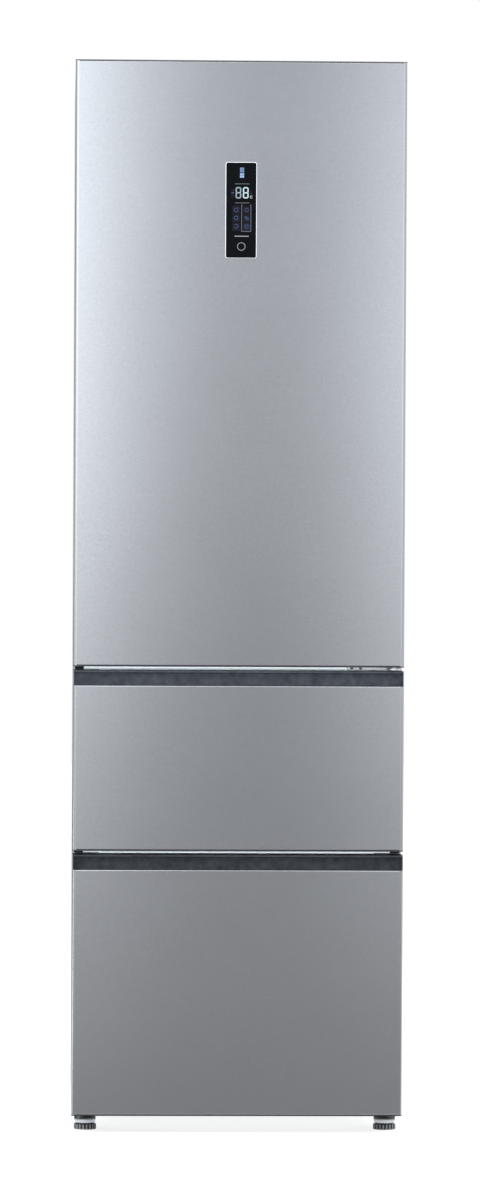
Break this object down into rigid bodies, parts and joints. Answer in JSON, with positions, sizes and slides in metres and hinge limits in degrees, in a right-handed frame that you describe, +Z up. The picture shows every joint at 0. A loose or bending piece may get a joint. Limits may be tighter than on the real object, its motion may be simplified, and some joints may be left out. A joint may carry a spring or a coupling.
{
  "type": "fridge freezer",
  "caption": "Tall free-standing fridge freezer with an upper door over two pull-out drawers, steel fronts, dark recessed grips and a black glass display.",
  "frame": {"origin": "centre of the footprint on the floor", "axes": "+Z up, the fronts face -Y, +X to the right as seen from the front"},
  "size_m": [0.595, 0.657, 1.928],
  "materials": {
    "cabinet_paint": "satin",
    "foam": "matte",
    "galvanised": "satin",
    "black_plastic": "matte",
    "white_plastic": "satin",
    "rail_paint": "gloss",
    "zinc": "satin",
    "compressor_paint": "satin",
    "lamp": "satin",
    "shelf_glass": "gloss",
    "fin_aluminium": "satin",
    "clear_plastic": "gloss",
    "front_steel": "satin",
    "cap_plastic": "satin",
    "grip_plastic": "satin",
    "seal_rubber": "matte",
    "display_black": "gloss",
    "foot_plastic": "matte"
  },
  "bodies": {
    "cabinet": {"cabinet_wrap": "cabinet_paint", "insulation": "foam", "base_plate": "galvanised", "back_panel": "galvanised", "rear_spacers": "black_plastic", "fridge_liner": "white_plastic", "zone_liner": "white_plastic", "freezer_liner": "white_plastic", "cross_rails": "rail_paint", "rail_end_blocks": "black_plastic", "top_hinge": "zinc", "hinge_cover": "white_plastic", "middle_hinge": "zinc", "foot_brackets": "zinc", "machine_tray": "galvanised", "compressor": "compressor_paint", "condenser": "compressor_paint", "drain_pan": "white_plastic", "rear_cover": "galvanised", "cord_gland": "black_plastic", "duct_cover": "white_plastic", "lamp_cover": "lamp", "shelf_glass": "shelf_glass", "shelf_trims": "white_plastic", "air_wall": "white_plastic", "evaporator": "fin_aluminium", "fan_motor": "black_plastic", "outer_slides": "zinc"},
    "upper_door": {"door_skin": "front_steel", "door_insulation": "foam", "door_liner": "white_plastic", "door_top_cap": "cap_plastic", "door_bottom_cap": "cap_plastic", "door_seal": "seal_rubber", "door_racks": "clear_plastic", "display_glass": "display_black"},
    "middle_drawer": {"zone_skin": "front_steel", "zone_insulation": "foam", "zone_front_liner": "white_plastic", "zone_grip": "grip_plastic", "zone_bottom_cap": "cap_plastic", "zone_seal": "seal_rubber", "zone_drawer_slides": "zinc", "zone_bin": "clear_plastic"},
    "lower_drawer": {"freezer_skin": "front_steel", "freezer_insulation": "foam", "freezer_front_liner": "white_plastic", "freezer_grip": "grip_plastic", "freezer_bottom_cap": "cap_plastic", "freezer_seal": "seal_rubber", "freezer_drawer_slides": "zinc", "freezer_bin": "clear_plastic"},
    "crisper": {"crisper": "clear_plastic"},
    "zone_slides": {"zone_mid_slides": "zinc"},
    "freezer_slides": {"freezer_mid_slides": "zinc"},
    "sliding_tray": {"freezer_tray": "clear_plastic"},
    "fan": {"fan_wheel": "white_plastic"},
    "left_levelling_foot": {"left_foot": "foot_plastic"},
    "right_levelling_foot": {"right_foot": "foot_plastic"},
    "rollers": {"rear_rollers": "foot_plastic"}
  },
  "joints": [
    {"name": "door_hinge", "type": "hinge", "parent": "cabinet", "child": "upper_door", "pos_m": [0.281, -0.2992, 0.841], "axis": [0, 0, 1], "range_deg": [0, 110]},
    {"name": "crisper_slide", "type": "slide", "parent": "cabinet", "child": "crisper", "axis": [0, -1, 0], "range_m": [0, 0.2205]},
    {"name": "middle_drawer_slide", "type": "slide", "parent": "cabinet", "child": "middle_drawer", "axis": [0, -1, 0], "range_m": [0, 0.35]},
    {"name": "middle_telescope", "type": "slide", "parent": "cabinet", "child": "zone_slides", "axis": [0, -1, 0], "range_m": [0, 0.1755]},
    {"name": "lower_drawer_slide", "type": "slide", "parent": "cabinet", "child": "lower_drawer", "axis": [0, -1, 0], "range_m": [0, 0.35]},
    {"name": "lower_telescope", "type": "slide", "parent": "cabinet", "child": "freezer_slides", "axis": [0, -1, 0], "range_m": [0, 0.1755]},
    {"name": "tray_slide", "type": "slide", "parent": "lower_drawer", "child": "sliding_tray", "axis": [0, 1, 0], "range_m": [0, 0.13]},
    {"name": "fan_spin", "type": "hinge", "parent": "cabinet", "child": "fan", "pos_m": [0, 0.166, 0.39175], "axis": [0, 1, 0], "continuous": true},
    {"name": "left_foot_screw", "type": "hinge", "parent": "cabinet", "child": "left_levelling_foot", "pos_m": [-0.272, -0.2312, 0], "axis": [0, 0, 1], "continuous": true},
    {"name": "right_foot_screw", "type": "hinge", "parent": "cabinet", "child": "right_levelling_foot", "pos_m": [0.272, -0.2312, 0], "axis": [0, 0, 1], "continuous": true},
    {"name": "roller_spin", "type": "hinge", "parent": "cabinet", "child": "rollers", "pos_m": [0, 0.271, 0.016], "axis": [1, 0, 0], "continuous": true}
  ],
  "couplings": [
    {"joint": "crisper_slide", "follows": "door_hinge", "m_per_rad": 0.11459},
    {"joint": "middle_telescope", "follows": "middle_drawer_slide", "ratio": 0.5},
    {"joint": "lower_telescope", "follows": "lower_drawer_slide", "ratio": 0.5}
  ]
}
